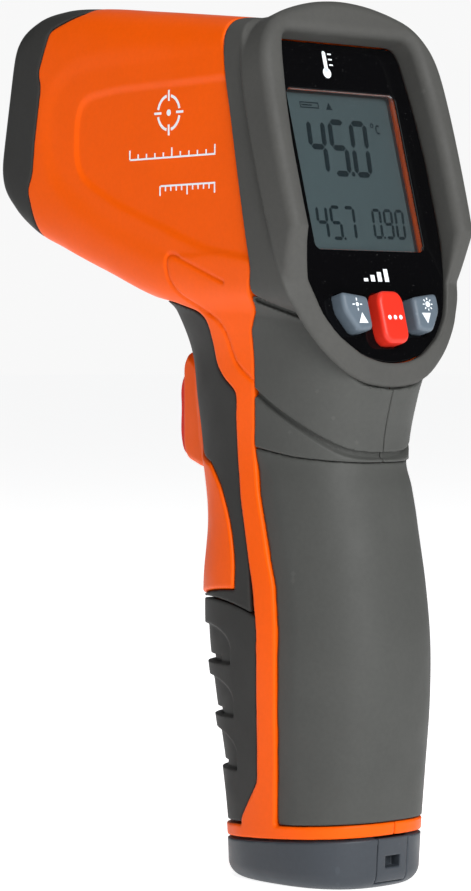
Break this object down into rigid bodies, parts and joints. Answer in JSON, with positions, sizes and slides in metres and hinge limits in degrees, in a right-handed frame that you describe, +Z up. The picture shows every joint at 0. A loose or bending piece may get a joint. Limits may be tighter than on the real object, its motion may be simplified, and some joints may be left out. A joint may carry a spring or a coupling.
{
  "type": "infrared thermometer",
  "caption": "Pistol-grip infrared thermometer with a tilted display and keypad at the rear of its head, a trigger, and a hinged battery door in the handle.",
  "frame": {"origin": "centre of the flat foot under the handle, on the mirror plane", "axes": "+Z up, +Y the aiming direction towards the nose, +X the device's right"},
  "size_m": [0.0638, 0.1261, 0.2185],
  "materials": {
    "orange_shell": "satin moulded ABS, fine spark texture",
    "dark_rubber": "matt overmoulded elastomer",
    "grip_rubber": "matt overmoulded elastomer",
    "cap_plastic": "satin blue-grey moulded plastic",
    "black_gloss": "polished black faceplate",
    "black_plastic": "matt black moulded plastic",
    "red_key": "satin silicone and ABS, red",
    "grey_key": "satin silicone, blue-grey",
    "clear_window": "clear polished acrylic",
    "lcd": "reflective liquid crystal display",
    "light_guide": "milky diffuser",
    "board": "green solder mask",
    "steel": "plated steel",
    "barrel": "anodised aluminium",
    "lens": "coated germanium-coloured infrared lens",
    "brass": "turned brass",
    "battery_wrap": "printed metal jacket, plain",
    "socket_plastic": "yellow thermoplastic",
    "tray_plastic": "orange ABS"
  },
  "bodies": {
    "casing": {"housing_left": "orange_shell", "housing_right": "orange_shell", "trigger_surround": "orange_shell", "nose_bumper": "dark_rubber", "display_bezel": "dark_rubber", "grip_front": "dark_rubber", "neck_pad_left": "grip_rubber", "neck_pad_right": "grip_rubber", "grip_rear": "grip_rubber", "case_screw_top": "steel", "case_screw_nose": "steel", "case_screw_rear": "steel", "case_screw_foot": "steel", "trigger_spring": "steel", "trigger_switch": "black_plastic", "lens_barrel": "barrel", "lens_retaining_ring": "black_plastic", "ir_lens": "lens", "thermopile_sensor": "steel", "sensor_board": "board", "laser_module": "brass", "laser_window": "clear_window", "front_plate": "black_plastic", "display_faceplate": "black_gloss", "lcd_frame": "orange_shell", "display_window": "clear_window", "lcd_glass": "lcd", "backlight_panel": "light_guide", "keypad_sheet": "black_plastic", "main_board": "board", "key_switch_1": "black_plastic", "key_switch_2": "black_plastic", "key_switch_3": "black_plastic", "door_hinge_pin": "steel", "battery_tray": "tray_plastic", "battery_9v": "battery_wrap", "battery_snap": "black_plastic", "base_cap": "cap_plastic", "strap_eyelet": "cap_plastic", "thermocouple_socket": "socket_plastic", "base_screw_1": "steel", "base_screw_2": "steel", "buzzer": "black_plastic"},
    "trigger": {"trigger": "red_key"},
    "left_key": {"button_left": "grey_key"},
    "mode_key": {"button_mode": "red_key"},
    "right_key": {"button_right": "grey_key"},
    "door": {"battery_door": "dark_rubber"}
  },
  "joints": [
    {"name": "trigger_pull", "type": "slide", "parent": "casing", "child": "trigger", "axis": [0, -1, 0], "range_m": [0, 0.004], "stiffness_N_per_m": 700, "springref_m": -0.003, "deforming": ["trigger_spring"]},
    {"name": "left_key_press", "type": "slide", "parent": "casing", "child": "left_key", "axis": [0, 0.9655, -0.2605], "range_m": [0, 0.0008], "stiffness_N_per_m": 600, "springref_m": -0.0005},
    {"name": "mode_key_press", "type": "slide", "parent": "casing", "child": "mode_key", "axis": [0, 0.9655, -0.2605], "range_m": [0, 0.0008], "stiffness_N_per_m": 600, "springref_m": -0.0005},
    {"name": "right_key_press", "type": "slide", "parent": "casing", "child": "right_key", "axis": [0, 0.9655, -0.2605], "range_m": [0, 0.0008], "stiffness_N_per_m": 600, "springref_m": -0.0005},
    {"name": "battery_door_hinge", "type": "hinge", "parent": "casing", "child": "door", "pos_m": [0, 0.022, 0.0166], "axis": [-1, 0, 0], "range_deg": [0, 70]}
  ]
}
